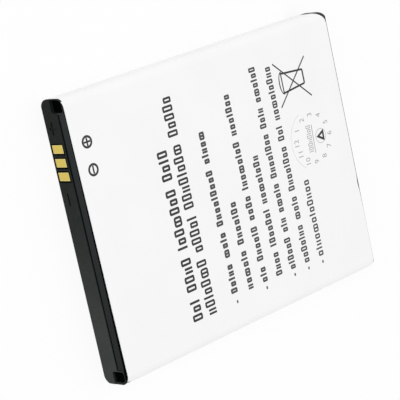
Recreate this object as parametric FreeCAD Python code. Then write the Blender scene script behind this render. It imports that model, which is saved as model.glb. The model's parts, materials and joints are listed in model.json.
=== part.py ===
import FreeCAD, Part
import os
from FreeCAD import Vector

# Mobile phone battery pack, millimetres.
# It lies on its back: X runs along the length with the contact end at -X,
# Y runs across, Z points up to the printed front. The origin is the middle
# of the back face.

# Whole pack
pack_length = 64.4
pack_width = 50.0
pack_thickness = 6.0
front_edge_radius = 1.7
back_edge_radius = 1.7

# Wrapped label
label_thickness = 0.1
label_contact_setback = 0.02
label_skew = 0.36
label_nose_gap = 0.02
label_tail_setback = 0.3
label_high_corner_radius = 2.6
label_low_corner_radius = 1.4
label_flap_setback_contact = 1.2
label_flap_setback_tail = 4.4
label_flap_height = 1.9
label_seam_offset = 6.0
label_seam_gap = 0.25

# Contact cap: the black moulding with the windows, shelf and corner pockets
contact_cap_depth = 4.6
contact_wall = 0.9
cap_skin = 0.45
contact_edge_radius = 0.12
contact_corner_radius = 0.2
nose_length = 0.3
cavity_corner_radius = 0.5
shelf_depth = 0.1
shelf_width = 2.02
groove_depth = 0.38
groove_width = 0.32
groove_fillet = 0.12
shelf_end_rib = 0.25
pocket_width = 2.4
pocket_height = 2.95
pocket_depth = 1.0
pocket_rim = 0.4
pocket_corner_radius = 0.45
pocket_wall = 0.8
mark_depth = 0.15
mark_stroke = 0.35
mark_length = 2.2
mark_height = 1.5
plus_mark_inset = 5.0
minus_mark_inset = 17.2

# Contact plates on their posts, and the windows that show them
contact_count = 3
contact_pitch = 2.36
contact_row_inset = 10.92
contact_width = 1.5
contact_height = 2.73
contact_recess = 0.1
contact_plate_thickness = 0.1
contact_edge_round = 0.04
post_width = 1.0
post_height = 1.1
window_side_gap = 0.25
window_low_gap = 0.1
window_high_gap = 0.42
window_sill = 0.17

# Protection board and what is soldered to it
board_standoff = 0.6
board_thickness = 0.8
board_clearance = 0.1
board_low_margin = 0.8
board_high_gap = 1.8
board_key = 1.2
stop_thickness = 1.0
rest_width = 1.4
weld_block_thickness = 0.3
weld_block_length = 2.4
weld_block_height = 3.0
weld_block_margin = 0.8
protection_chip_size = (1.0, 2.9, 1.6)
protection_chip_spacing = 5.5
switch_chip_size = (0.9, 4.4, 3.0)
switch_chip_spacing = 5.3
lead_height = 0.35
lead_width = 0.35
lead_reach = 0.45
small_part_height = 0.45
small_part_length = 1.0
small_part_width = 0.5
small_part_spacing = 1.7
small_row_spacing = 7.8

# Lid of the cell, its terminal and the sheet that covers it
can_wall = 0.4
can_bottom_radius = 0.5
lid_thickness = 1.0
weld_gap = 0.02
insulator_thickness = 0.15
insulator_margin = 0.6
insulator_hole_gap = 0.25
gasket_thickness = 0.3
gasket_length = 5.0
gasket_height = 2.8
gasket_sleeve_radius = 1.2
rivet_head_thickness = 0.35
rivet_head_length = 4.2
rivet_head_height = 2.0
rivet_shank_radius = 0.7
plug_radius = 0.9
plug_height = 0.35
plug_offset = 4.6

# Nickel strips and the thermal cut-off
strip_thickness = 0.12
strip_width = 2.4
strip_slope_length = 1.3
inner_strip_end_gap = 0.4
cutoff_thickness = 0.75
cutoff_length = 4.2
cutoff_height = 3.0
cutoff_gap = 0.6
strip_weld_length = 2.6

# Tail cap and the tape that holds it
tail_cap_depth = 4.3
tail_wall = 1.0
tail_side_wall = 1.6
tail_high_corner_radius = 1.2
tail_low_corner_radius = 1.2
tail_edge_radius = 0.15
tail_rib_thickness = 0.8
tail_rib_count = 5
tape_thickness = 0.15
tape_margin = 0.9

# Places worked out from the sizes
contact_end = -pack_length / 2
tail_end = pack_length / 2
half_width = pack_width / 2
middle = pack_thickness / 2
core_low = label_thickness
core_high = pack_thickness - label_thickness
core_half_width = half_width - label_thickness
core_front_radius = front_edge_radius - label_thickness
core_back_radius = back_edge_radius - label_thickness
nose_end = contact_end + nose_length
cavity_low = core_low + cap_skin
cavity_high = core_high - cap_skin
lid_face = contact_end + contact_cap_depth
can_end = tail_end - tail_cap_depth - tape_thickness
pocket_inner = half_width - pocket_width
pocket_high = core_high - pocket_rim
pocket_low = pocket_high - pocket_height
cavity_half_width = pocket_inner - pocket_wall
shelf_half_width = pocket_inner - shelf_end_rib
shelf_low = core_high - shelf_width
contact_row_y = half_width - contact_row_inset
protection_chip_y = contact_row_y - protection_chip_spacing
switch_chip_y = protection_chip_y - switch_chip_spacing
small_row_y = switch_chip_y - small_row_spacing
board_front = contact_end + contact_wall + board_standoff
board_back = board_front + board_thickness
board_low = cavity_low + board_clearance
board_high = cavity_high - board_clearance
window_low = core_low + window_sill
contact_low = window_low + window_low_gap
window_high = contact_low + contact_height + window_high_gap
window_width = contact_width + 2 * window_side_gap
mark_middle = contact_low + contact_height / 2
weld_face = board_back + weld_block_thickness
insulator_face = lid_face - insulator_thickness
rivet_face = lid_face - gasket_thickness - rivet_head_thickness
cutoff_back = insulator_face - strip_thickness
cutoff_front = cutoff_back - cutoff_thickness
terminal_edge = -gasket_length / 2 - insulator_hole_gap
cutoff_y_high = terminal_edge - strip_slope_length - cutoff_gap
cutoff_y_low = cutoff_y_high - cutoff_length
negative_block_y = cutoff_y_low - strip_slope_length - weld_block_length / 2
board_y_low = negative_block_y - weld_block_length / 2 - board_low_margin
board_y_high = cavity_half_width - board_high_gap
positive_block_y = board_y_high - weld_block_margin - weld_block_length / 2
positive_weld_y = positive_block_y - weld_block_length / 2 - strip_slope_length - strip_weld_length / 2

beyond = 5.0
x_axis = Vector(1, 0, 0)
y_axis = Vector(0, 1, 0)
z_axis = Vector(0, 0, 1)


def block(x_low, x_high, y_low, y_high, z_low, z_high):
    """A box between two corners."""
    size = Vector(x_high - x_low, y_high - y_low, z_high - z_low)
    return Part.makeBox(size.x, size.y, size.z, Vector(x_low, y_low, z_low))


def centred_block(x_low, x_high, y_centre, length, z_centre, height):
    """A box given by its middle in Y and Z."""
    return block(x_low, x_high, y_centre - length / 2, y_centre + length / 2,
                 z_centre - height / 2, z_centre + height / 2)


def rounded_face(place, low_a, high_a, low_b, high_b, radii):
    """A rectangle with its own radius at each corner, in the plane that place maps (a, b) to.

    radii run from the (low_a, low_b) corner to (high_a, low_b), (high_a, high_b), (low_a, high_b).
    """
    corners = [(low_a, low_b, 1, 1), (high_a, low_b, -1, 1), (high_a, high_b, -1, -1), (low_a, high_b, 1, -1)]
    starts = []
    edges = []
    half_chord = 1 - 0.5 ** 0.5
    for (a, b, toward_a, toward_b), radius in zip(corners, radii):
        along_a = place(a + toward_a * radius, b)
        along_b = place(a, b + toward_b * radius)
        bend = place(a + toward_a * radius * half_chord, b + toward_b * radius * half_chord)
        comes_from_b = toward_a == toward_b
        first, last = (along_b, along_a) if comes_from_b else (along_a, along_b)
        starts.append((first, last))
        if radius > 0:
            edges.append(Part.Arc(first, bend, last).toShape())
    for (_, last), (first, _) in zip(starts, starts[1:] + starts[:1]):
        if last.distanceToPoint(first) > 1e-6:
            edges.append(Part.LineSegment(last, first).toShape())
    wire = Part.Wire(Part.__sortEdges__(edges))
    return Part.Face(wire)


def section_prism(x_low, x_high, half, z_low, z_high, front_radius, back_radius):
    """The pack's rounded cross-section, run along X."""
    radii = [back_radius, back_radius, front_radius, front_radius]
    face = rounded_face(lambda y, z: Vector(x_low, y, z), -half, half, z_low, z_high, radii)
    return face.extrude(x_axis * (x_high - x_low))


def core_prism(x_low, x_high, inset=0.0):
    """The cross-section under the label, drawn in by inset."""
    return section_prism(x_low, x_high, core_half_width - inset, core_low + inset, core_high - inset,
                         core_front_radius - inset, core_back_radius - inset)


def plan_prism(x_low, x_high, radii):
    """A rounded outline seen from above, over the whole height."""
    face = rounded_face(lambda x, y: Vector(x, y, -beyond), x_low, x_high, -half_width, half_width, radii)
    return face.extrude(z_axis * (pack_thickness + 2 * beyond))


def side_prism(x_low, x_high, z_low, radii):
    """A rounded outline seen from the long side, from z_low up to the film of the front."""
    face = rounded_face(lambda x, z: Vector(x, -half_width - beyond, z),
                        x_low, x_high, z_low, core_high, radii)
    return face.extrude(y_axis * (pack_width + 2 * beyond))


def ribbon(path, height):
    """A flat strip through (x, y) points, with its thickness towards +X, centred in Z."""
    outline = path + [(x + strip_thickness, y) for x, y in reversed(path)]
    low = middle - height / 2
    wire = Part.makePolygon([Vector(x, y, low) for x, y in outline + outline[:1]])
    return Part.Face(wire).extrude(z_axis * height)


def contact_centres():
    """The Y places of the contact blades, from the positive end of the row."""
    first = contact_row_y + contact_pitch * (contact_count - 1) / 2
    return [first - contact_pitch * index for index in range(contact_count)]


def rounded_pocket(side):
    """One corner pocket, open at the contact end and at the long side."""
    y_low, y_high = sorted((pocket_inner * side, (half_width + beyond) * side))
    back = contact_end + pocket_depth
    radii = [pocket_corner_radius] * 4
    face = rounded_face(lambda y, z: Vector(contact_end - beyond, y, z), y_low, y_high,
                        pocket_low, pocket_high, radii)
    return face.extrude(x_axis * (back - contact_end + beyond))


def shelf_cut():
    """The step along the front side of the end face, with a deeper groove at its foot."""
    outside = contact_end - beyond
    step = contact_end + shelf_depth
    floor = contact_end + groove_depth
    groove_high = shelf_low + groove_width
    above = pack_thickness + beyond
    turn = groove_fillet * (1 - 0.5 ** 0.5)
    bend = Vector(floor - turn, 0, shelf_low + turn)
    foot = Vector(floor - groove_fillet, 0, shelf_low)
    back = Vector(floor, 0, shelf_low + groove_fillet)
    places = [back, Vector(floor, 0, groove_high), Vector(step, 0, groove_high),
              Vector(step, 0, above), Vector(outside, 0, above), Vector(outside, 0, shelf_low), foot]
    edges = [Part.Arc(foot, bend, back).toShape()]
    for first, last in zip(places, places[1:]):
        edges.append(Part.LineSegment(first, last).toShape())
    face = Part.Face(Part.Wire(edges))
    face.translate(y_axis * -shelf_half_width)
    return face.extrude(y_axis * (2 * shelf_half_width))


def polarity_marks():
    """The shallow plus and minus beside the row of windows."""
    floor = contact_end + mark_depth
    outside = contact_end - beyond
    marks = []
    for inset in (plus_mark_inset, minus_mark_inset):
        marks.append(centred_block(outside, floor, half_width - inset, mark_length, mark_middle, mark_stroke))
    marks.append(centred_block(outside, floor, half_width - plus_mark_inset, mark_stroke,
                               mark_middle, mark_height))
    return marks


def make_contact_cap():
    """Black end moulding: stepped end face, windows, corner pockets and a seat for the board.

    Its nose stands out to the face of the film at the back and at the sides.
    """
    rear = lid_face + beyond
    far = half_width + beyond
    body = core_prism(contact_end, lid_face)
    nose = section_prism(contact_end, nose_end, half_width, 0, pack_thickness,
                         front_edge_radius, back_edge_radius)
    body = body.fuse(nose.common(block(contact_end, nose_end, -far, far, -beyond, pocket_low)))
    edge = contact_edge_radius
    body = body.common(side_prism(contact_end, rear, 0, [edge, 0, 0, edge]))
    corner = contact_corner_radius
    body = body.common(plan_prism(contact_end, rear, [corner, 0, 0, corner]))

    cavity_face = rounded_face(lambda y, z: Vector(contact_end + contact_wall, y, z),
                               -cavity_half_width, cavity_half_width, cavity_low, cavity_high,
                               [cavity_corner_radius] * 4)
    body = body.cut(cavity_face.extrude(x_axis * contact_cap_depth))
    body = body.cut([rounded_pocket(1), rounded_pocket(-1), shelf_cut()] + polarity_marks())

    wall_inside = contact_end + contact_wall
    board_middle = (board_y_low + board_y_high) / 2
    for y in (board_y_low + rest_width / 2, board_middle, board_y_high - rest_width / 2):
        rest = centred_block(wall_inside, board_front, y, rest_width, middle, cavity_high - cavity_low)
        body = body.fuse(rest)
    for side, y in ((-1, board_y_low - board_clearance), (1, board_y_high + board_clearance)):
        near, far = sorted((y, y + side * stop_thickness))
        body = body.fuse(block(wall_inside, board_back, near, far, cavity_low, cavity_high))

    for y in contact_centres():
        window = block(contact_end - beyond, board_front, y - window_width / 2, y + window_width / 2,
                       window_low, window_high)
        body = body.cut(window)
    return body.removeSplitter()


def make_contact(y):
    """One gold-plated contact: a plate that shows in its window, on a post that stands on the board."""
    front = contact_end + contact_recess
    back = front + contact_plate_thickness
    plate = block(front, back, y - contact_width / 2, y + contact_width / 2,
                  contact_low, contact_low + contact_height)
    front_edges = [edge for edge in plate.Edges if abs(edge.CenterOfMass.x - front) < 1e-6]
    plate = plate.makeFillet(contact_edge_round, front_edges)
    post = block(back, board_front, y - post_width / 2, y + post_width / 2,
                 contact_low, contact_low + post_height)
    return plate.fuse(post)


def make_board():
    """Protection board with one corner cut off as a key."""
    board = block(board_front, board_back, board_y_low, board_y_high, board_low, board_high)
    key = board_corner(board_y_low, board_high, board_key)
    return board.cut(key)


def board_corner(y, z, size):
    """A small triangular prism at an upper corner of the board, run along X."""
    points = [Vector(board_front - beyond, y - size, z + size),
              Vector(board_front - beyond, y + size, z + size),
              Vector(board_front - beyond, y - size, z - size)]
    wire = Part.makePolygon(points + points[:1])
    return Part.Face(wire).extrude(x_axis * (board_thickness + 2 * beyond))


def make_chip(size, y, leads_per_side):
    """A moulded chip on the inner side of the board, with flat leads on two sides."""
    height, length, width = size
    chip = centred_block(board_back, board_back + height, y, length, middle, width)
    pitch = length / leads_per_side
    for index in range(leads_per_side):
        lead_y = y - length / 2 + pitch * (index + 0.5)
        lead = centred_block(board_back, board_back + lead_height, lead_y, lead_width,
                             middle, width + 2 * lead_reach)
        chip = chip.fuse(lead)
    return chip.removeSplitter()


def make_small_part(y):
    """A chip resistor or capacitor on the inner side of the board."""
    return centred_block(board_back, board_back + small_part_height, y, small_part_width,
                         middle, small_part_length)


def make_weld_block(y):
    """A nickel block on the board for a strip to be welded to."""
    return centred_block(board_back, weld_face, y, weld_block_length, middle, weld_block_height)


def make_can():
    """Sealed aluminium can with its winding, and the recess that takes the lid."""
    can = core_prism(lid_face, can_end)
    end_edges = [edge for edge in can.Edges if abs(edge.CenterOfMass.x - can_end) < 1e-6]
    can = can.makeFillet(can_bottom_radius, end_edges)
    return can.cut(core_prism(lid_face - beyond, lid_face + lid_thickness, can_wall))


def make_lid():
    """Aluminium lid in the mouth of the can, with the hole for the terminal."""
    lid = core_prism(lid_face, lid_face + lid_thickness, can_wall + weld_gap)
    hole = Part.makeCylinder(gasket_sleeve_radius, lid_thickness + 2 * beyond,
                             Vector(lid_face - beyond, 0, middle), x_axis)
    return lid.cut(hole)


def oblong(x_low, x_high, y, length, height):
    """A flat plate with round ends, its length along Y."""
    radius = height / 2
    face = rounded_face(lambda a, b: Vector(x_low, a, b), y - length / 2, y + length / 2,
                        middle - radius, middle + radius, [radius * 0.98] * 4)
    return face.extrude(x_axis * (x_high - x_low))


def make_gasket():
    """Plastic gasket that keeps the terminal clear of the lid."""
    flange = oblong(lid_face - gasket_thickness, lid_face, 0, gasket_length, gasket_height)
    sleeve = Part.makeCylinder(gasket_sleeve_radius, lid_thickness,
                               Vector(lid_face, 0, middle), x_axis)
    hole = Part.makeCylinder(rivet_shank_radius, lid_thickness + 2 * beyond,
                             Vector(lid_face - beyond, 0, middle), x_axis)
    return flange.fuse(sleeve).cut(hole)


def make_rivet():
    """Negative terminal: a flat head with a shank through the gasket."""
    head = oblong(rivet_face, rivet_face + rivet_head_thickness, 0, rivet_head_length, rivet_head_height)
    shank = Part.makeCylinder(rivet_shank_radius, lid_thickness + gasket_thickness,
                              Vector(rivet_face + rivet_head_thickness, 0, middle), x_axis)
    return head.fuse(shank)


def make_plug():
    """Low domed plug that seals the filling hole in the lid."""
    disc = Part.makeCylinder(plug_radius, plug_height,
                             Vector(lid_face - plug_height, plug_offset, middle), x_axis)
    rim = [edge for edge in disc.Edges if abs(edge.CenterOfMass.x - (lid_face - plug_height)) < 1e-6]
    return disc.makeFillet(plug_height * 0.6, rim)


def make_insulator():
    """Insulating sheet on the lid, cut out round the terminal, the plug and the weld."""
    low = core_low + can_wall + insulator_margin
    high = core_high - can_wall - insulator_margin
    half = cavity_half_width - insulator_margin
    sheet = block(insulator_face, lid_face, -half, half, low, high)
    gap = insulator_hole_gap
    round_terminal = centred_block(insulator_face - beyond, lid_face + beyond, 0, gasket_length + 2 * gap,
                                   middle, gasket_height + 2 * gap)
    round_plug = Part.makeCylinder(plug_radius + gap, 2 * beyond,
                                   Vector(lid_face - beyond, plug_offset, middle), x_axis)
    round_weld = centred_block(insulator_face - beyond, lid_face + beyond, positive_weld_y,
                               strip_weld_length + 2 * gap, middle, strip_width + 2 * gap)
    return sheet.cut([round_terminal, round_plug, round_weld])


def make_positive_strip():
    """Nickel strip from the lid up to the positive block on the board."""
    low_x = lid_face - strip_thickness
    high_x = weld_face
    weld_start = positive_weld_y - strip_weld_length / 2
    weld_stop = positive_weld_y + strip_weld_length / 2
    block_start = positive_block_y - weld_block_length / 2
    block_stop = positive_block_y + weld_block_length / 2
    path = [(low_x, weld_start), (low_x, weld_stop), (high_x, block_start), (high_x, block_stop)]
    return ribbon(path, strip_width)


def make_inner_strip():
    """Nickel strip from the terminal down to the underside of the cut-off."""
    top_x = rivet_face - strip_thickness
    low_x = insulator_face - strip_thickness
    path = [(top_x, rivet_head_length / 2 - inner_strip_end_gap), (top_x, terminal_edge),
            (low_x, terminal_edge - strip_slope_length), (low_x, cutoff_y_low)]
    return ribbon(path, strip_width)


def make_outer_strip():
    """Nickel strip from the top of the cut-off up to the negative block on the board."""
    low_x = cutoff_front - strip_thickness
    high_x = weld_face
    block_start = negative_block_y - weld_block_length / 2
    block_stop = negative_block_y + weld_block_length / 2
    path = [(low_x, cutoff_y_high), (low_x, cutoff_y_low), (high_x, block_stop), (high_x, block_start)]
    return ribbon(path, strip_width)


def make_cutoff():
    """Thermal cut-off between the two negative strips."""
    return block(cutoff_front, cutoff_back, cutoff_y_low, cutoff_y_high,
                 middle - cutoff_height / 2, middle + cutoff_height / 2)


def make_tape():
    """Double-sided tape between the can and the tail cap."""
    half = core_half_width - core_back_radius
    low = core_low + tape_margin
    high = core_high - tape_margin
    return block(can_end, can_end + tape_thickness, -half, half, low, high)


def make_tail_cap():
    """Black end moulding at the plain end: a hollow cap with cross ribs."""
    front = tail_end - tail_cap_depth
    edge = tail_edge_radius
    body = core_prism(front, tail_end)
    body = body.common(side_prism(front - beyond, tail_end, core_low, [0, edge, edge, 0]))
    radii = [0, tail_low_corner_radius, tail_high_corner_radius, 0]
    body = body.common(plan_prism(front - beyond, tail_end, radii))
    half = core_half_width - tail_side_wall
    cavity = block(front - beyond, tail_end - tail_wall, -half, half, cavity_low, cavity_high)
    body = body.cut(cavity)
    pitch = 2 * half / (tail_rib_count + 1)
    for index in range(1, tail_rib_count + 1):
        y = -half + pitch * index
        rib = centred_block(front, tail_end - tail_wall, y, tail_rib_thickness,
                            middle, cavity_high - cavity_low)
        body = body.fuse(rib)
    return body.removeSplitter()


def make_label():
    """One printed film wrapped round the caps and the can, with its seam on the back."""
    start = contact_end + label_contact_setback
    stop = tail_end - label_tail_setback
    tube = section_prism(start, stop, half_width, 0, pack_thickness, front_edge_radius, back_edge_radius)
    tube = tube.cut(core_prism(start - beyond, stop + beyond))
    radii = [0, label_low_corner_radius, label_high_corner_radius, 0]
    tube = tube.common(plan_prism(start - beyond, stop, radii))

    flap_edge = half_width - back_edge_radius
    flap_start = contact_end + label_flap_setback_contact
    flap_stop = tail_end - label_flap_setback_tail
    far = half_width + beyond
    below_nose = block(start - beyond, nose_end + label_nose_gap, -far, far, -beyond, pocket_high)
    low_start = block(start - beyond, flap_start, -far, -pocket_inner, -beyond, pocket_high)
    high_stop = block(flap_stop, stop + beyond, flap_edge, far, -beyond, label_flap_height)
    low_stop = block(flap_stop, stop + beyond, -far, -flap_edge, -beyond, label_flap_height)
    seam_y = -half_width + label_seam_offset
    seam = block(start - beyond, stop + beyond, seam_y - label_seam_gap / 2, seam_y + label_seam_gap / 2,
                 -beyond, middle)
    tube = tube.cut([below_nose, low_start, high_stop, low_stop, seam])

    skew = [Vector(start - beyond, flap_edge, -beyond), Vector(start, flap_edge, -beyond),
            Vector(start + label_skew, -flap_edge, -beyond), Vector(start + label_skew, -far, -beyond),
            Vector(start - beyond, -far, -beyond)]
    wedge = Part.Face(Part.makePolygon(skew + skew[:1])).extrude(z_axis * (pack_thickness + 2 * beyond))
    return tube.cut(wedge)


def build_pieces():
    """Every piece of the pack by name."""
    pieces = {
        "wrap_label": make_label(),
        "contact_cap": make_contact_cap(),
        "tail_cap": make_tail_cap(),
        "tail_tape": make_tape(),
        "cell_can": make_can(),
        "cell_lid": make_lid(),
        "terminal_gasket": make_gasket(),
        "terminal_rivet": make_rivet(),
        "fill_plug": make_plug(),
        "lid_insulator": make_insulator(),
        "positive_strip": make_positive_strip(),
        "inner_negative_strip": make_inner_strip(),
        "outer_negative_strip": make_outer_strip(),
        "thermal_cutoff": make_cutoff(),
        "protection_board": make_board(),
        "protection_chip": make_chip(protection_chip_size, protection_chip_y, 3),
        "switch_chip": make_chip(switch_chip_size, switch_chip_y, 4),
        "positive_weld_block": make_weld_block(positive_block_y),
        "negative_weld_block": make_weld_block(negative_block_y),
    }
    for name, y in zip(("positive_contact", "sense_contact", "negative_contact"), contact_centres()):
        pieces[name] = make_contact(y)
    small_names = ("supply_resistor", "filter_capacitor", "sense_resistor", "identity_resistor")
    for index, name in enumerate(small_names):
        pieces[name] = make_small_part(small_row_y + small_part_spacing * index)
    return pieces


os.makedirs("parts", exist_ok=True)
for piece_name, shape in build_pieces().items():
    solids = shape.Solids
    piece = solids[0] if len(solids) == 1 else shape
    piece.exportStep(os.path.join("parts", piece_name + ".step"))
    state = "valid" if shape.isValid() else "INVALID"
    print(piece_name, len(solids), "solid", round(shape.Volume, 3), "mm3", state)
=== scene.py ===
import json
import math
from collections import defaultdict

import bmesh
import bpy
from mathutils import Matrix, Vector
from mathutils.geometry import delaunay_2d_cdt


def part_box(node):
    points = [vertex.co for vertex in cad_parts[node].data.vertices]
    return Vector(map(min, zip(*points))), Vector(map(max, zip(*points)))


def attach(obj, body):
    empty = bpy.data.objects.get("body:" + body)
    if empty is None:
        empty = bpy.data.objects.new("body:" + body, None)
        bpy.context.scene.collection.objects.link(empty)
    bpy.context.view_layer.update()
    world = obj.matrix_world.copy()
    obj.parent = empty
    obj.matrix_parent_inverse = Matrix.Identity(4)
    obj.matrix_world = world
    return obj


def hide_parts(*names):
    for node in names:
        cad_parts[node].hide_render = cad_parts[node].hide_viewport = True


# The looks of a flat phone battery that lies on its back.
# Places are in millimetres until a mesh is made. X runs along the length with
# the contact end at -X, Y runs across, Z points up to the printed front.

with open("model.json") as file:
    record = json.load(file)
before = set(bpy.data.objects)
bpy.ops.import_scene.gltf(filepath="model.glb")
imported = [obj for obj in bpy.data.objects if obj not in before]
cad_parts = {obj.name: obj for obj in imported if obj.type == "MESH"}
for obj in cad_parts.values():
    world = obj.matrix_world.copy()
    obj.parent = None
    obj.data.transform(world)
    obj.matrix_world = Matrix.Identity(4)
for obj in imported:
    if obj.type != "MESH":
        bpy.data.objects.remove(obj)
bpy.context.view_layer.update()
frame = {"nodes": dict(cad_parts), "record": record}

MM = 0.001

# The pack, from the frame
label_low, label_high = (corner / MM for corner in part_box("wrap_label"))
contact_end = (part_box("contact_cap")[0] / MM).x
half_width = label_high.y
thickness = label_high.z
film_start = label_low.x
film_stop = label_high.x

# The wrapped film, its seam and the corners of its plain end
film_thickness = 0.1
ink_depth = 0.03
front_radius = 1.7
back_radius = 1.7
high_corner_radius = 2.6
low_corner_radius = 1.25
seam_offset = 6.0
seam_gap = 0.25

# The film's edge at the plain end: it comes further out on the low side, and has one small nick
edge_gain = 0.07
edge_gain_range = (-9.5, -14.5)
nick_place = -8.3
nick_reach = 1.8
nick_depth = 0.15

# The film's edge at the contact end: askew on the front, and behind the nose further down
film_inset = 0.04
film_skew = 0.36
nose_length = 0.3
nose_gap = 0.02
nose_stop = contact_end + nose_length + nose_gap

# Where the film is cut back further: beside the low pocket, and at the foot of both sides at the plain end
contact_flap_setback = 1.2
tail_flap_setback = 4.4
flap_height = 1.9
flap_start = contact_end + contact_flap_setback
flap_stop = -contact_end - tail_flap_setback

# Corner pockets of the contact cap
pocket_width = 2.4
pocket_height = 2.95
pocket_rim = 0.5
pocket_depth = 1.0
pocket_inner = half_width - pocket_width
pocket_high = thickness - pocket_rim
pocket_low = pocket_high - pocket_height

# Thin walls that close the pockets at the side: name, side, setback of the edge, depth of the inner face
pocket_walls = [("high_pocket_wall", 1, 0.05, 0.18), ("low_pocket_wall", -1, 0.17, 0.40)]
wall_bevel = 0.05
wall_sink = 0.05
wall_film_gap = 0.01
wall_cover = film_thickness + wall_film_gap
wall_steps = 24

# The film's mesh: its steps, how far its lines run past it, and its tolerances
bend_steps = 14
corner_step = 0.2
nick_step = 0.2
cross_line_pitch = 4.0
line_overrun = 1.0
edge_nudge = 1e-6
same_point = 1e-4
cut_tolerance = 1e-5
sharp_angle = math.radians(25)

# The film's section, measured along its path from the middle of the front
front_flat = half_width - front_radius
front_bend_end = front_flat + front_radius * math.pi / 2
back_bend_start = front_bend_end + thickness - front_radius - back_radius
back_bend_end = back_bend_start + back_radius * math.pi / 2
back_flat = half_width - back_radius
seam_y = -half_width + seam_offset
path_low = -(back_bend_end + back_flat + seam_y - seam_gap / 2)
path_high = back_bend_end + back_flat - seam_y - seam_gap / 2

# Front print, in millimetres from the contact end (u) and from the middle (y)
sign_radius = 1.12
sign_line = 0.40
sign_bar = 1.38
sign_bar_line = 0.34
plus_place = (3.12, 16.86)
minus_place = (3.14, 12.07)

# Forms of the rows: 0 low box, 1 tall bar, 2 pair of low bars, 3 tall box, 4 wide low box with a bar
form_widths = (1.0, 0.6, 1.0, 1.05, 1.5)
form_gap = 0.13
group_gap = 0.85
low_share = 0.77
box_rounding = 0.5
bar_rounding = 0.2
smallest_radius = 0.02

# The two large rows: foot, start, stop and the number of forms in each group
heading_height = 2.35
heading_strokes = (0.44, 0.40)
heading_forms = (3, 0, 1, 3, 3, 2, 3, 1, 0, 3, 4, 3, 0, 3)
heading_form_shift = 5
heading_rows = [
    (19.45, -19.95, 11.05, (3, 4, 7, 4)),
    (22.85, -19.95, 19.70, (7, 5, 8, 5)),
]

# The small rows: foot, start, stop, whether a dash stands before it, and the number of forms in each group
note_height = 1.62
note_strokes = (0.41, 0.32)
note_forms = (0, 3, 0, 1, 2, 0, 4, 0, 1, 0, 3, 2, 0, 0, 1, 3, 0)
note_first_form = 1
note_form_shift = 3
note_dash = (-19.9, -19.35)
note_dash_line = 0.36
note_dash_share = 0.36
note_rows = [
    (28.64, -18.10, 11.80, True, (5, 4, 9, 5)),
    (32.54, -18.70, -2.20, False, (6, 7)),
    (36.30, -18.60, 16.45, True, (3, 6, 4, 8, 7)),
    (40.17, -18.60, 4.15, False, (4, 7, 8)),
    (43.77, -18.60, 19.55, True, (6, 3, 5, 8, 4, 6)),
    (47.54, -18.60, 18.65, True, (7, 4, 8, 3, 9)),
    (51.42, -18.60, -3.70, True, (12,)),
]

# The dial: numbers, rim, an underlined strip (foot, start, stop), and a small ring with a pointer
dial_centre = (54.76, 3.05)
dial_radius = 4.42
dial_number_height = 1.15
number_resolution = 3
dial_tilt = 2.5
dial_rim_radius = 5.82
dial_rim_line = 0.12
dial_rim_turns = (-60, 61)
dial_rim_steps = 40
dial_strip = (54.45, 0.50, 5.70)
dial_strip_counts = (8,)
dial_strip_height = 1.2
dial_strip_stroke = 0.14
dial_first_form = 2
dial_underline = ((54.82, 0.25), (54.82, 5.60))
dial_underline_width = 0.17
dial_mark = (56.85, 3.05)
dial_mark_ring = 1.38
dial_mark_ring_line = 0.10
pointer_tip = 55.66
pointer_foot = 57.72
pointer_width = 2.25
pointer_line = 0.44

# The tub under two crossing lines. Its lid's inner curve has less rise and reach, in widths of its line
crossing_lines = (((48.42, 10.50), (56.60, 18.20)), ((48.28, 18.68), (56.68, 10.72)))
crossed_line = 0.28
tub_corners = ((49.85, 12.88), (55.42, 13.40), (55.42, 16.00), (49.85, 16.48))
tub_line = 0.36
lid_foot = 49.98
lid_middle = 14.75
lid_reach = 2.15
lid_rise = 1.0
lid_line = 0.28
lid_inner_loss = (2.0, 1.5)
lid_steps = 16

# Steps of the print's circles and of each rounded corner of its boxes
circle_steps = 48
box_corner_steps = 3

# Share of an ink's tone where its cover is thick and where it is thin
ink_spread = (0.9, 1.12)

# Black plastic: the ranges over which its painted light and shade change, two along Y, two along Z and three
# along X
painted_light_range = (-15 * MM, 21 * MM)
low_pocket_range = (-22.4 * MM, -22.7 * MM)
step_range = (3.9 * MM, 4.3 * MM)
front_shadow_range = (5.55 * MM, 5.72 * MM)
painted_groove_range = ((contact_end + 0.07) * MM, (contact_end + 0.25) * MM)
pocket_shade_range = ((contact_end + 0.44) * MM, (contact_end + 0.66) * MM)
near_range = ((contact_end + 8.0) * MM, (contact_end + 10.0) * MM)
cap_mottle = 0.06
cap_shine = 0.10

# Gold contacts: how uneven the plating is, and the share of width and height that the painted highlight along
# the rounded edges takes
gold_unevenness = 0.25
gold_highlight_rims = [("Y", 0.13), ("Z", 0.07)]

# Camera, from a fit to the photograph's outline and print
camera_place = Vector((-0.21022, 0.06439, 0.23903))
camera_right = Vector((0.70882, -0.20944, 0.67359))
camera_up = Vector((0.29164, 0.95648, -0.00951))
camera_back = Vector((-0.64227, 0.20318, 0.73905))
camera_lens = 162.943
camera_clip = (0.01, 10.0)
sensor_width = 36.0

# Floor, studio and lamp, in metres and watts
floor_half = 1.5
floor_drop = 0.00001
floor_tone = 0.9
floor_glow = 0.88
horizon_light = 1.0
overhead_light = 0.86
overhead_height = 0.5
lamp_place = (-0.45, 0.35, 0.80)
lamp_size = 0.5
lamp_power = 2.05


def srgb(value):
    """Linear light of an sRGB value from 0 to 255."""
    share = value / 255
    return share / 12.92 if share <= 0.04045 else ((share + 0.055) / 1.055) ** 2.4


def colour(red, green, blue):
    """A linear colour from sRGB values from 0 to 255."""
    return (srgb(red), srgb(green), srgb(blue), 1.0)


def add_object(name, data):
    """A new object, linked to the scene."""
    added = bpy.data.objects.new(name, data)
    bpy.context.scene.collection.objects.link(added)
    return added


# Materials


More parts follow.
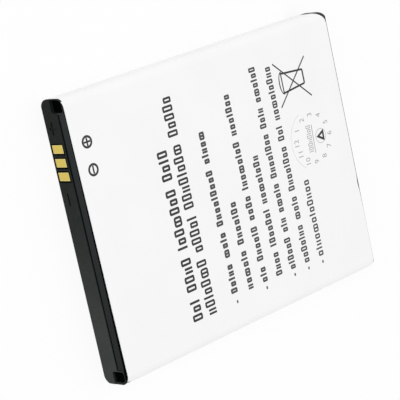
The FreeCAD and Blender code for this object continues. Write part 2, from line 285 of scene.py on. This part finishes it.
class Shading:
    """A material under construction, with short ways to add its nodes."""

    def __init__(self, name):
        self.material = bpy.data.materials.new(name)
        self.material.use_nodes = True
        self.tree = self.material.node_tree
        self.shader = self.tree.nodes["Principled BSDF"]
        self.place = self.add("ShaderNodeTexCoord").outputs["Object"]

    def add(self, kind, **settings):
        node = self.tree.nodes.new(kind)
        for name, value in settings.items():
            setattr(node, name, value)
        return node

    def link(self, out, into):
        self.tree.links.new(out, into)

    def feed(self, name, out):
        """Links an output to one of the shader's own inputs."""
        self.link(out, self.shader.inputs[name])

    def set(self, **values):
        """Uniform values of the shader's own inputs."""
        for name, value in values.items():
            self.shader.inputs[name].default_value = value

    def axes(self, place):
        """The X, Y and Z of a place."""
        split = self.add("ShaderNodeSeparateXYZ")
        self.link(place, split.inputs["Vector"])
        return [split.outputs[axis] for axis in "XYZ"]

    def noise(self, scale, detail=2.0, stretch=None):
        """Noise with features of about 1 / scale metres, drawn out along the axes where stretch is small."""
        node = self.add("ShaderNodeTexNoise")
        node.inputs["Scale"].default_value = scale
        node.inputs["Detail"].default_value = detail
        place = self.place
        if stretch:
            mapping = self.add("ShaderNodeMapping")
            mapping.inputs["Scale"].default_value = stretch
            self.link(place, mapping.inputs["Vector"])
            place = mapping.outputs["Vector"]
        self.link(place, node.inputs["Vector"])
        return node.outputs["Fac"]

    def between(self, value, low, high, start=0.35, stop=0.65):
        """Maps the range from start to stop to the one from low to high. The defaults suit a noise."""
        node = self.add("ShaderNodeMapRange")
        ends = {"From Min": start, "From Max": stop, "To Min": low, "To Max": high}
        for name, number in ends.items():
            node.inputs[name].default_value = number
        self.link(value, node.inputs["Value"])
        return node.outputs["Result"]

    def join(self, operation, first, second):
        """Two values joined by one operation, kept between 0 and 1."""
        node = self.add("ShaderNodeMath", operation=operation, use_clamp=True)
        self.link(first, node.inputs[0])
        self.link(second, node.inputs[1])
        return node.outputs["Value"]

    def mix(self, factor, first, second):
        """Colour between two colours, each given as numbers or as an output."""
        node = self.add("ShaderNodeMix", data_type="RGBA")
        self.link(factor, node.inputs["Factor"])
        for colour_input, given in ((node.inputs[6], first), (node.inputs[7], second)):
            if isinstance(given, tuple):
                colour_input.default_value = given
            else:
                self.link(given, colour_input)
        return node.outputs[2]

    def bump(self, *heights):
        """Bump from (value, height in metres) pairs, one after another."""
        normal = None
        for value, height in heights:
            node = self.add("ShaderNodeBump")
            node.inputs["Distance"].default_value = height
            self.link(value, node.inputs["Height"])
            if normal:
                self.link(normal, node.inputs["Normal"])
            normal = node.outputs["Normal"]
        self.feed("Normal", normal)


def film_material():
    """Satin white printed film, with a faint cloudiness and the slight ripple of a wrapped label."""
    look = Shading("label_film")
    cloud = look.between(look.noise(120), 0.0, 1.0)
    look.feed("Base Color", look.mix(cloud, (0.886, 0.890, 0.890, 1), (0.900, 0.903, 0.902, 1)))
    look.feed("Roughness", look.between(look.noise(900), 0.34, 0.44))
    look.bump((look.noise(90, stretch=(0.6, 1.0, 1.0)), 0.00002))
    look.set(IOR=1.46)
    return look.material


def ink_material(name, tone):
    """Printed ink with slightly uneven cover."""
    look = Shading(name)
    darker, lighter = (tuple(min(1.0, spread * part) for part in tone[:3]) + (1,) for spread in ink_spread)
    look.feed("Base Color", look.mix(look.between(look.noise(5200), 0, 1), darker, lighter))
    look.feed("Roughness", look.between(look.noise(3000), 0.42, 0.55))
    look.bump((look.noise(5200), 0.0000015))
    look.set(IOR=1.45)
    return look.material


def moulded_material(name, face, step, groove, painted_shade_tone):
    """Black moulded plastic with a fine grain.

    Face, step and groove are pairs of tones, for the high and for the low side of the end face. They are
    painted reflection, lighter or darker along Y on the end face and on the band above the step, and painted
    light and shade in the shallow recess behind the end face.
    The pockets, the windows and the front edge are painted shade, nearly black and with their shine turned
    down. Further from the contact end the plastic keeps one plain tone.
    """
    look = Shading(name)
    along, across, up = look.axes(look.place)
    # Painted reflection: the end face is painted lighter towards the low side, with a faint random mottle
    low_side = look.between(across, 1.0, 0.0, *painted_light_range)
    fall = look.join("MULTIPLY", low_side, low_side)
    mottle = look.between(look.noise(420, detail=4), -cap_mottle, cap_mottle)
    grey = look.mix(look.join("ADD", fall, mottle), *face)
    # Painted reflection: above the step the band takes its own painted tone, lighter or darker along Y
    grey = look.mix(look.between(up, 0.0, 1.0, *step_range), grey, look.mix(low_side, *step))
    # Painted light and shade in the shallow recess behind the end face: fairly light on the high side and
    # beside the low pocket, nearly black on the low side
    in_painted_groove = look.between(along, 0.0, 1.0, *painted_groove_range)
    low_groove = look.join("SUBTRACT", low_side, look.between(across, 0.0, 1.0, *low_pocket_range))
    grey = look.mix(in_painted_groove, grey, look.mix(low_groove, *groove))
    # Painted shade: the pockets and windows, more than about half a millimetre behind the end face, go nearly
    # black, and so does a painted shadow line along the front edge under the film
    black = look.join("MAXIMUM", look.between(along, 0.0, 1.0, *pocket_shade_range),
                      look.between(up, 0.0, 1.0, *front_shadow_range))
    # The painted light and shade stay near the contact end; further along, the plastic keeps the plain
    # low-side face tone
    near = look.between(along, 1.0, 0.0, *near_range)
    black = look.join("MULTIPLY", black, near)
    grey = look.mix(near, face[1], grey)
    look.feed("Base Color", look.mix(black, grey, painted_shade_tone))
    # The painted shade also turns the shine down in the recess, the pockets, the windows and along the front
    # edge
    shade_dulling = look.join("MULTIPLY", look.join("MAXIMUM", in_painted_groove, black), near)
    look.feed("Specular IOR Level", look.between(shade_dulling, cap_shine, 0.0, 0.0, 1.0))
    look.feed("Roughness", look.between(look.noise(1500), 0.36, 0.50))
    look.bump((look.noise(9000, detail=3), 0.000006), (look.noise(700), 0.000008))
    look.set(IOR=1.5)
    return look.material


def gold_material(name, middle, rim, roughness):
    """Gold plate with a fine grain and uneven plating, and a painted highlight that makes it paler where the
    edges of a contact are rounded over.
    """
    look = Shading(name)
    shares = dict(zip("XYZ", look.axes(look.add("ShaderNodeTexCoord").outputs["Generated"])))
    edge = look.between(look.noise(2600, detail=3), 0.0, gold_unevenness)
    # Painted highlight: paler towards the edges of each contact
    for axis, reach in gold_highlight_rims:
        for start, stop in ((reach, 0.0), (1.0 - reach, 1.0)):
            edge = look.join("MAXIMUM", edge, look.between(shares[axis], 0.0, 1.0, start, stop))
    look.feed("Base Color", look.mix(edge, middle, rim))
    look.feed("Roughness", look.between(look.noise(3400), *roughness))
    look.bump((look.noise(7000), 0.000002))
    look.set(Metallic=1.0)
    return look.material


def metal_material(name, dark, light, roughness, grain):
    """Metal with a drawn or rolled grain."""
    look = Shading(name)
    streak = look.between(look.noise(2600, detail=3, stretch=grain), 0, 1)
    look.feed("Base Color", look.mix(streak, dark, light))
    look.feed("Roughness", look.between(look.noise(3400, stretch=grain), *roughness))
    look.bump((look.noise(7000, stretch=grain), 0.000002))
    look.set(Metallic=1.0)
    return look.material


def matt_material(name, dark, light, scale, roughness, relief):
    """Any matt solid: fibre sheet, tape, board, ceramic."""
    look = Shading(name)
    look.feed("Base Color", look.mix(look.between(look.noise(scale, detail=4), 0, 1), dark, light))
    look.feed("Roughness", look.between(look.noise(scale * 2), *roughness))
    look.bump((look.noise(scale * 3), relief))
    return look.material


materials = {
    "label_film": film_material(),
    # The black plastic's tones are painted reflection and painted shade near the contact end, and one plain
    # tone elsewhere
    "cap_black": moulded_material("cap_black",
                                  face=((0.0028, 0.0059, 0.0035, 1), (0.0321, 0.0364, 0.0335, 1)),
                                  step=((0.0170, 0.0205, 0.0210, 1), (0.0115, 0.0145, 0.0150, 1)),
                                  groove=((0.0150, 0.0185, 0.0190, 1), (0.0008, 0.0012, 0.0012, 1)),
                                  # The nearly black tone of the painted shade in the pockets, the windows and
                                  # along the front edge
                                  painted_shade_tone=(0.0018, 0.0026, 0.0020, 1)),
    "can_aluminium": metal_material("can_aluminium", (0.76, 0.76, 0.78, 1), (0.84, 0.84, 0.86, 1),
                                    (0.30, 0.42), (0.08, 1.0, 1.0)),
    "nickel": metal_material("nickel", (0.62, 0.59, 0.54, 1), (0.72, 0.69, 0.64, 1),
                             (0.26, 0.38), (1.0, 0.1, 1.0)),
    # The second gold tone serves the paler plating and the painted highlight along the edges
    "gold_plate": gold_material("gold_plate", (0.70, 0.54, 0.10, 1), (0.72, 0.62, 0.29, 1), (0.26, 0.36)),
    "board_green": matt_material("board_green", (0.010, 0.075, 0.030, 1), (0.018, 0.110, 0.045, 1),
                                 1800, (0.30, 0.42), 0.000004),
    "chip_black": matt_material("chip_black", (0.012, 0.012, 0.013, 1), (0.024, 0.024, 0.025, 1),
                                4000, (0.50, 0.62), 0.000006),
    "chip_ceramic": matt_material("chip_ceramic", (0.24, 0.17, 0.11, 1), (0.34, 0.25, 0.17, 1),
                                  5000, (0.42, 0.55), 0.000004),
    "fibre_sheet": matt_material("fibre_sheet", (0.62, 0.58, 0.46, 1), (0.74, 0.70, 0.58, 1),
                                 2400, (0.75, 0.88), 0.000010),
    "tape_white": matt_material("tape_white", (0.76, 0.76, 0.73, 1), (0.84, 0.84, 0.81, 1),
                                1600, (0.60, 0.72), 0.000008),
    "gasket_white": matt_material("gasket_white", (0.66, 0.66, 0.65, 1), (0.74, 0.74, 0.73, 1),
                                  2000, (0.40, 0.52), 0.000004),
    "cutoff_black": matt_material("cutoff_black", (0.016, 0.016, 0.018, 1), (0.030, 0.030, 0.033, 1),
                                  2500, (0.40, 0.52), 0.000005),
}
ink_dark = ink_material("ink_dark", colour(44, 48, 45))
ink_note = ink_material("ink_note", colour(66, 71, 67))
ink_pale = ink_material("ink_pale", colour(158, 160, 159))
ink_faint = ink_material("ink_faint", colour(214, 217, 214))

slot_of_node = {row["node"]: row["material_slot"] for row in frame["record"]["subparts"]}
for node_name, node in frame["nodes"].items():
    node.data.materials.clear()
    node.data.materials.append(materials[slot_of_node[node_name]])


# Shapes of the print: each is an (outline, holes) pair of loops of (x, y) points


def at(u, y):
    """A point of the front face, from its distance to the contact end."""
    return (contact_end + u, y)


def twice_area(loop):
    """Twice the area inside a loop, above 0 where it runs anticlockwise."""
    return sum(a[0] * b[1] - b[0] * a[1] for a, b in zip(loop, loop[1:] + loop[:1]))


def rounded_box(centre, reach_x, reach_y, radius):
    """Loop of a box with rounded corners. The reaches are half sizes."""
    points = []
    for quarter, (sign_x, sign_y) in enumerate(((1, 1), (-1, 1), (-1, -1), (1, -1))):
        for step in range(box_corner_steps + 1):
            turn = (quarter + step / box_corner_steps) * math.pi / 2
            points.append((centre[0] + sign_x * (reach_x - radius) + radius * math.cos(turn),
                           centre[1] + sign_y * (reach_y - radius) + radius * math.sin(turn)))
    return points


def circle(centre, radius):
    """Loop of a circle."""
    turns = [2 * math.pi * step / circle_steps for step in range(circle_steps)]
    return [(centre[0] + radius * math.cos(t), centre[1] + radius * math.sin(t)) for t in turns]


def ring(centre, radius, line):
    """A circle drawn with a line whose outer edge is at radius."""
    return (circle(centre, radius), [circle(centre, radius - line)])


def bar(first, last, width):
    """A straight line of some width."""
    along = Vector(last) - Vector(first)
    side = Vector((-along.y, along.x)).normalized() * width / 2
    ends = [Vector(first) + side, Vector(first) - side, Vector(last) - side, Vector(last) + side]
    return ([tuple(point) for point in ends], [])


def upright_bar(u, y, height, width):
    """A bar of a row with slightly rounded corners, with its middle at (u, y)."""
    return (rounded_box(at(u, y), height / 2, width / 2, width * bar_rounding), [])


def frame_box(u, y, height, reach, line):
    """A box of a row drawn as a line with rounded corners, with its middle at (u, y)."""
    rise = height / 2
    radius = min(rise, reach) * box_rounding
    inner_radius = max(radius - line, smallest_radius)
    return (rounded_box(at(u, y), rise, reach, radius),
            [rounded_box(at(u, y), rise - line, reach - line, inner_radius)])


def row_of_forms(u, y_start, y_stop, counts, height, stroke, forms, shift):
    """A row of plain upright boxes and bars in groups, where the object carries a line of print.

    The foot of the row is at u, and the forms stand towards the contact end.
    """
    groups = []
    for count in counts:
        groups.append([forms[(shift + index) % len(forms)] for index in range(count)])
        shift += count
    wide = sum(form_widths[form] for group in groups for form in group) + group_gap * (len(counts) - 1)
    pitch = (y_stop - y_start) / wide
    shapes = []
    y = y_start
    for group in groups:
        for form in group:
            room = form_widths[form] * pitch
            middle = y + room / 2
            reach = room / 2 - form_gap * pitch
            tall = height if form in (1, 3) else low_share * height
            if form in (0, 3, 4):
                shapes.append(frame_box(u - tall / 2, middle, tall, reach, stroke))
            if form in (1, 4):
                shapes.append(upright_bar(u - tall / 2, middle, tall, stroke))
            if form == 2:
                for side in (-1, 1):
                    bar_middle = middle + side * (reach - stroke / 2)
                    shapes.append(upright_bar(u - tall / 2, bar_middle, tall, stroke))
            y += room
        y += group_gap * pitch
    return shapes


def polarity_signs():
    """The ringed plus and minus beside the contacts."""
    plus, minus = at(*plus_place), at(*minus_place)
    half = sign_bar / 2
    return [
        ring(plus, sign_radius, sign_line),
        bar((plus[0] - half, plus[1]), (plus[0] + half, plus[1]), sign_bar_line),
        bar((plus[0], plus[1] - half), (plus[0], plus[1] + half), sign_bar_line),
        ring(minus, sign_radius, sign_line),
        bar((minus[0], minus[1] - half), (minus[0], minus[1] + half), sign_bar_line),
    ]


def heading_shapes():
    """The two large rows."""
    shapes = []
    for number, (u, start, stop, counts) in enumerate(heading_rows):
        shapes += row_of_forms(u, start, stop, counts, heading_height, heading_strokes[number],
                               heading_forms, heading_form_shift * number)
    return shapes


def note_shapes():
    """The small rows, some with a dash before them. Their strokes grow thinner from row to row."""
    shapes = []
    first_stroke, last_stroke = note_strokes
    for number, (u, start, stop, dashed, counts) in enumerate(note_rows):
        stroke = first_stroke + (last_stroke - first_stroke) * number / (len(note_rows) - 1)
        shift = note_form_shift * number + note_first_form
        shapes += row_of_forms(u, start, stop, counts, note_height, stroke, note_forms, shift)
        if dashed:
            dash_u = u - note_height * note_dash_share
            shapes.append(bar(at(dash_u, note_dash[0]), at(dash_u, note_dash[1]), note_dash_line))
    return shapes


def crossing_shapes():
    """Two thin crossing lines."""
    return [bar(at(*first), at(*last), crossed_line) for first, last in crossing_lines]


def tub_shapes():
    """A plain tub with a domed lid."""
    shapes = [bar(at(*first), at(*last), tub_line) for first, last in zip(tub_corners, tub_corners[1:])]
    turns = [math.pi * step / lid_steps for step in range(lid_steps + 1)]
    rise_loss, reach_loss = lid_inner_loss
    loops = []
    for inset in (0.0, lid_line):
        foot = lid_foot - inset
        rise = lid_rise - rise_loss * inset
        reach = lid_reach - reach_loss * inset
        loops.append([at(foot - rise * math.sin(t), lid_middle - reach * math.cos(t)) for t in turns])
    outer, inner = loops
    shapes.append((outer, [inner]))
    return shapes


def number_shapes(number, centre, height):
    """A plain number, upright to someone who reads the rows."""
    text = bpy.data.curves.new("number", "FONT")
    text.body = str(number)
    text.resolution_u = number_resolution
    carrier = add_object("number", text)
    bpy.context.view_layer.update()
    flat = bpy.data.meshes.new_from_object(carrier)
    places = [tuple(vertex.co.xy) for vertex in flat.vertices]
    low, high = min(place[1] for place in places), max(place[1] for place in places)
    left, right = min(place[0] for place in places), max(place[0] for place in places)
    scale = height / (high - low)
    sides = []
    for polygon in flat.polygons:
        corners = polygon.vertices[:]
        sides += zip(corners, corners[1:] + corners[:1])
    # The sides that run one way only make up the outlines and the holes
    all_sides = set(sides)
    follows = dict(side for side in sides if side[::-1] not in all_sides)
    outlines, holes = [], []
    while follows:
        first, place = follows.popitem()
        loop = [first]
        while place != first:
            loop.append(place)
            place = follows.pop(place)
        loop = [(centre[0] - (places[v][1] - (low + high) / 2) * scale,
                 centre[1] + (places[v][0] - (left + right) / 2) * scale) for v in loop]
        (outlines if twice_area(loop) > 0 else holes).append(loop)
    bpy.data.objects.remove(carrier)
    bpy.data.curves.remove(text)
    bpy.data.meshes.remove(flat)
    return [(outline, holes) for outline in outlines]


def tilted(shapes):
    """Shapes of the dial, turned with it about its centre."""
    x, y = at(*dial_centre)
    sine, cosine = math.sin(math.radians(dial_tilt)), math.cos(math.radians(dial_tilt))

    def turned(loop):
        return [(x + (a - x) * cosine + (b - y) * sine, y + (b - y) * cosine - (a - x) * sine)
                for a, b in loop]

    return [(turned(outline), [turned(hole) for hole in holes]) for outline, holes in shapes]


def dial_shapes():
    """The ring of twelve pale numbers, with an underlined strip and a small ring inside it."""
    x, y = at(*dial_centre)
    shapes = []
    for number in range(1, 13):
        turn = number * math.pi / 6
        place = (x - dial_radius * math.cos(turn), y + dial_radius * math.sin(turn))
        shapes += number_shapes(number, place, dial_number_height)
    shapes += row_of_forms(*dial_strip, dial_strip_counts, dial_strip_height, dial_strip_stroke,
                           heading_forms, dial_first_form)
    shapes.append(bar(at(*dial_underline[0]), at(*dial_underline[1]), dial_underline_width))
    shapes.append(ring(at(*dial_mark), dial_mark_ring, dial_mark_ring_line))
    return shapes


def pointer_shapes():
    """The dark triangle in the small ring."""
    reach = pointer_width / 2
    height = pointer_foot - pointer_tip
    slant = math.hypot(height, reach)
    inner_tip = pointer_tip + pointer_line * slant / reach
    inner_foot = pointer_foot - pointer_line
    inner_reach = (inner_foot - inner_tip) * reach / height
    middle = dial_mark[1]
    outline, hole = ([at(tip, middle), at(foot, middle - side), at(foot, middle + side)]
                     for tip, foot, side in ((pointer_tip, pointer_foot, reach),
                                             (inner_tip, inner_foot, inner_reach)))
    return [(outline, [hole])]


def dial_rim_shapes():
    """The faint arc outside the numbers."""
    x, y = at(*dial_centre)
    first, last = dial_rim_turns
    degrees = [first + (last - first) * step / dial_rim_steps for step in range(dial_rim_steps + 1)]
    turns = [math.radians(degree) for degree in degrees]
    rim = []
    for radius, order in ((dial_rim_radius, 1), (dial_rim_radius - dial_rim_line, -1)):
        rim += [(x - radius * math.cos(t), y + radius * math.sin(t)) for t in turns][::order]
    return [(rim, [])]


# Pieces of the print: name, shapes and ink
print_groups = {
    "polarity_signs": (polarity_signs(), ink_dark),
    "heading_print": (heading_shapes(), ink_dark),
    "note_print": (note_shapes(), ink_note),
    "tub_print": (tub_shapes(), ink_dark),
    "crossing_lines": (crossing_shapes(), ink_note),
    "dial_numbers": (tilted(dial_shapes()), ink_pale),
    "dial_rim": (tilted(dial_rim_shapes()), ink_faint),
    "dial_pointer": (tilted(pointer_shapes()), ink_dark),
}


# The film: cut flat, then wrapped


def section_place(along, depth):
    """(y, z) of a point of the film's section, from its distance along the section and its depth."""
    side = 1 if along >= 0 else -1
    s = abs(along)
    if s <= front_flat:
        turn = 0.0
        y, z = s, thickness
    elif s <= front_bend_end:
        turn = (s - front_flat) / front_radius
        y = front_flat + front_radius * math.sin(turn)
        z = thickness - front_radius + front_radius * math.cos(turn)
    elif s <= back_bend_start:
        turn = math.pi / 2
        y, z = half_width, thickness - front_radius - (s - front_bend_end)
    elif s <= back_bend_end:
        turn = math.pi / 2 + (s - back_bend_start) / back_radius
        y = back_flat + back_radius * math.sin(turn)
        z = back_radius + back_radius * math.cos(turn)
    else:
        turn = math.pi
        y, z = back_flat - (s - back_bend_end), 0.0
    return side * (y - depth * math.sin(turn)), z - depth * math.cos(turn)


def distance_down_side(z):
    """The distance along the section at which the flat side is at a height."""
    return front_bend_end + thickness - front_radius - z


def distance_in_bend(z):
    """The distance along the section at which the front bend is at a height."""
    return front_flat + front_radius * math.acos((z - thickness + front_radius) / front_radius)


def start_of_film(along):
    """Where the film starts at the contact end."""
    y, z = section_place(along, 0)
    share = (back_flat - max(-back_flat, min(back_flat, y))) / (2 * back_flat)
    x = film_start + film_inset + film_skew * share
    if z < pocket_high:
        x = max(x, nose_stop)
    if y < -pocket_inner and z < pocket_high:
        x = max(x, flap_start)
    return x


def stop_of_film(along):
    """Where the film stops at the plain end."""
    y, z = section_place(along, 0)
    radius = high_corner_radius if y > 0 else low_corner_radius
    past = max(0.0, abs(y) - (half_width - radius))
    x = film_stop - radius + math.sqrt(max(0.0, radius ** 2 - past ** 2))
    gain_start, gain_stop = edge_gain_range
    x += edge_gain * min(1.0, max(0.0, (y - gain_start) / (gain_stop - gain_start)))
    if abs(along) < front_flat:
        x -= nick_depth * math.cos(min(1.0, abs(y - nick_place) / nick_reach) * math.pi / 2) ** 2
    if abs(y) > back_flat and z < flap_height:
        x = min(x, flap_stop)
    return x


def bend_lines():
    """The distances along the section at which the film's facets meet."""
    lines = []
    for start, stop in ((front_flat, front_bend_end), (back_bend_start, back_bend_end)):
        for step in range(bend_steps + 1):
            lines.append(start + (stop - start) * step / bend_steps)
    return [side * line for line in lines for side in (-1, 1)]


def edge_breaks():
    """The distances along the section at which the film's two end edges change, from low to high."""
    breaks = {path_low, path_high, -back_flat, back_flat, -(back_bend_end + back_flat - pocket_inner)}
    breaks.update(bend_lines())
    for side in (-1, 1):
        breaks |= {side * distance_in_bend(pocket_high), side * distance_down_side(flap_height)}
    for side, radius in ((1, high_corner_radius), (-1, low_corner_radius)):
        y = half_width - radius
        while y < front_flat:
            breaks |= {side * y, side * (back_bend_end + half_width - back_radius - y)}
            y += corner_step
    for place in edge_gain_range:
        breaks |= {place, -(back_bend_end + back_flat + place)}
    nick_steps = round(2 * nick_reach / nick_step)
    breaks |= {nick_place - nick_reach + nick_step * step for step in range(nick_steps + 1)}
    return sorted(place for place in breaks if path_low <= place <= path_high)


def film_outline():
    """The flat film's outline as (x, distance along the section)."""
    breaks = edge_breaks()
    starts, stops = [], []
    for low, high in zip(breaks, breaks[1:]):
        for along, inside in ((low, low + edge_nudge), (high, high - edge_nudge)):
            starts.append((start_of_film(inside), along))
            stops.append((stop_of_film(inside), along))
    outline = []
    for point in stops + starts[::-1]:
        if not outline or max(abs(a - b) for a, b in zip(point, outline[-1])) > same_point:
            outline.append(point)
    return outline


def cut_film():
    """The flat film with the print cut into it: its points, its triangles and each triangle's print group."""
    points, edges, faces = [], [], []
    solids = []

    def add_loop(loop):
        if twice_area(loop) < 0:
            loop = loop[::-1]
        first = len(points)
        points.extend(Vector(point) for point in loop)
        faces.append(list(range(first, len(points))))
        return len(faces) - 1

    film_face = add_loop(film_outline())
    for name, (shapes, _) in print_groups.items():
        for outline, holes in shapes:
            solids.append((name, add_loop(outline), [add_loop(hole) for hole in holes]))

    def add_line(first, last):
        edges.append((len(points), len(points) + 1))
        points.extend((Vector(first), Vector(last)))

    for along in bend_lines():
        add_line((film_start - line_overrun, along), (film_stop + line_overrun, along))
    x = film_start + cross_line_pitch
    while x < film_stop:
        add_line((x, path_low - line_overrun), (x, path_high + line_overrun))
        x += cross_line_pitch

    places, _, triangles, _, _, face_ids = delaunay_2d_cdt(points, edges, faces, 0, cut_tolerance)
    kept, groups = [], []
    for triangle, ids in zip(triangles, face_ids):
        if film_face not in ids:
            continue
        inside = set(ids)
        group = None
        for name, outline, holes in solids:
            if outline in inside and not inside.intersection(holes):
                group = name
                break
        kept.append(tuple(triangle))
        groups.append(group)
    return places, kept, groups


def film_solid(name, places, triangles, tops, bottom):
    """A closed thin solid over triangles of the film. Tops and bottom are depths under its face."""
    vertices, index = [], {}

    def corner(point, depth):
        key = (point, depth)
        if key not in index:
            x, along = places[point]
            y, z = section_place(along, depth)
            index[key] = len(vertices)
            vertices.append((x * MM, y * MM, z * MM))
        return index[key]

    faces = []
    sides = defaultdict(list)
    for triangle, top in zip(triangles, tops):
        faces.append([corner(point, top) for point in triangle])
        faces.append([corner(point, bottom) for point in reversed(triangle)])
        for first, last in zip(triangle, triangle[1:] + triangle[:1]):
            sides[frozenset((first, last))].append((first, last, top))
    # A side of one triangle goes down to the bottom, and a shared one to the deeper of two tops
    for shared in sides.values():
        first, last, top = min(shared, key=lambda side: side[2])
        floor = bottom if len(shared) == 1 else max(side[2] for side in shared)
        if floor > top:
            wall = ((first, floor), (last, floor), (last, top), (first, top))
            faces.append([corner(*place) for place in wall])

    mesh = bpy.data.meshes.new(name)
    mesh.from_pydata(vertices, [], faces)
    mesh.validate()
    mesh.polygons.foreach_set("use_smooth", [True] * len(mesh.polygons))
    mesh.set_sharp_from_angle(angle=sharp_angle)
    return add_object(name, mesh)


def build_film():
    """The wrapped film with shallow seats for the ink, and the ink that lies in them."""
    places, triangles, groups = cut_film()
    tops = [ink_depth if group else 0.0 for group in groups]
    film = film_solid("printed_label", places, triangles, tops, film_thickness)
    film.data.materials.append(materials["label_film"])
    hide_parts("wrap_label")
    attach(film, "root")
    for name, (_, material) in print_groups.items():
        chosen = [triangle for triangle, group in zip(triangles, groups) if group == name]
        ink = film_solid(name, places, chosen, [0.0] * len(chosen), ink_depth)
        ink.data.materials.append(material)
        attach(ink, "root")


def pocket_wall(name, side, setback, inner):
    """One thin wall at the side of a corner pocket, under the outline of the nose and of the film."""
    back = pocket_depth + wall_sink
    profile = [(setback, wall_bevel), (setback + wall_bevel, 0.0), (nose_length, 0.0),
               (nose_length, wall_cover), (back, wall_cover), (back, inner), (setback, inner)]
    first = distance_in_bend(pocket_high + wall_sink)
    last = distance_down_side(pocket_low - wall_sink)
    shape = bmesh.new()
    rings = []
    for step in range(wall_steps + 1):
        along = side * (first + (last - first) * step / wall_steps)
        corners = [(contact_end + x, *section_place(along, depth)) for x, depth in profile]
        rings.append([shape.verts.new([value * MM for value in corner]) for corner in corners])
    for one, other in zip(rings, rings[1:]):
        for index in range(len(profile)):
            after = (index + 1) % len(profile)
            shape.faces.new((one[index], one[after], other[after], other[index]))
    shape.faces.new(rings[0])
    shape.faces.new(rings[-1])
    bmesh.ops.recalc_face_normals(shape, faces=shape.faces)
    mesh = bpy.data.meshes.new(name)
    shape.to_mesh(mesh)
    shape.free()
    mesh.materials.append(materials["cap_black"])
    piece = add_object(name, mesh)
    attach(piece, "root")


build_film()
for wall in pocket_walls:
    pocket_wall(*wall)


# Floor, light and camera


def seen_directly(nodes, links, strength):
    """A value of strength for camera, glossy and transmission rays, and 0 for the rest."""
    path = nodes.new("ShaderNodeLightPath")
    value = path.outputs["Is Camera Ray"]
    for name in ("Is Glossy Ray", "Is Transmission Ray"):
        larger = nodes.new("ShaderNodeMath")
        larger.operation = "MAXIMUM"
        links.new(value, larger.inputs[0])
        links.new(path.outputs[name], larger.inputs[1])
        value = larger.outputs["Value"]
    scaled = nodes.new("ShaderNodeMath")
    scaled.operation = "MULTIPLY"
    scaled.inputs[1].default_value = strength
    links.new(value, scaled.inputs[0])
    return scaled.outputs["Value"]


def make_floor():
    """A plain pale floor, shown white to the camera and in reflections, that keeps the object's shadow."""
    mesh = bpy.data.meshes.new("floor")
    corners = [(x * floor_half, y * floor_half, -floor_drop) for x, y in ((-1, -1), (1, -1), (1, 1), (-1, 1))]
    mesh.from_pydata(corners, [], [(0, 1, 2, 3)])
    floor = add_object("floor", mesh)
    material = bpy.data.materials.new("floor")
    material.use_nodes = True
    nodes, links = material.node_tree.nodes, material.node_tree.links
    nodes.clear()
    cover = nodes.new("ShaderNodeBsdfDiffuse")
    cover.inputs["Color"].default_value = (floor_tone, floor_tone, floor_tone, 1)
    glow = nodes.new("ShaderNodeEmission")
    glow.inputs["Color"].default_value = (1, 1, 1, 1)
    share = nodes.new("ShaderNodeMixShader")
    links.new(seen_directly(nodes, links, floor_glow), share.inputs["Fac"])
    links.new(cover.outputs["BSDF"], share.inputs[1])
    links.new(glow.outputs["Emission"], share.inputs[2])
    out = nodes.new("ShaderNodeOutputMaterial")
    links.new(share.outputs["Shader"], out.inputs["Surface"])
    mesh.materials.append(material)


def make_world():
    """A studio that is white round the horizon and dim overhead."""
    world = bpy.data.worlds.new("studio")
    world.use_nodes = True
    nodes, links = world.node_tree.nodes, world.node_tree.links
    nodes.clear()
    place = nodes.new("ShaderNodeTexCoord")
    split = nodes.new("ShaderNodeSeparateXYZ")
    links.new(place.outputs["Generated"], split.inputs["Vector"])
    fade = nodes.new("ShaderNodeMapRange")
    fade.interpolation_type = "SMOOTHSTEP"
    ends = {"From Min": 0.0, "From Max": overhead_height, "To Min": horizon_light, "To Max": overhead_light}
    for name, number in ends.items():
        fade.inputs[name].default_value = number
    links.new(split.outputs["Z"], fade.inputs["Value"])
    light = nodes.new("ShaderNodeBackground")
    light.inputs["Color"].default_value = (1, 1, 1, 1)
    links.new(fade.outputs["Result"], light.inputs["Strength"])
    out = nodes.new("ShaderNodeOutputWorld")
    links.new(light.outputs["Background"], out.inputs["Surface"])
    bpy.context.scene.world = world


def make_lamp():
    """A soft square lamp that faces the object."""
    light = bpy.data.lights.new("key_lamp", "AREA")
    light.size = lamp_size
    light.energy = lamp_power
    lamp = add_object("key_lamp", light)
    lamp.location = lamp_place
    lamp.rotation_euler = Vector(lamp_place).to_track_quat("Z", "Y").to_euler()


def make_camera():
    """The photograph's viewpoint."""
    data = bpy.data.cameras.new("camera")
    data.lens = camera_lens
    data.sensor_width = sensor_width
    data.clip_start, data.clip_end = camera_clip
    camera = add_object("camera", data)
    turn = Matrix((camera_right, camera_up, camera_back)).transposed().to_4x4()
    camera.matrix_world = Matrix.Translation(camera_place) @ turn
    bpy.context.scene.camera = camera


make_floor()
make_world()
make_lamp()
make_camera()
bpy.context.scene.view_settings.view_transform = "Standard"
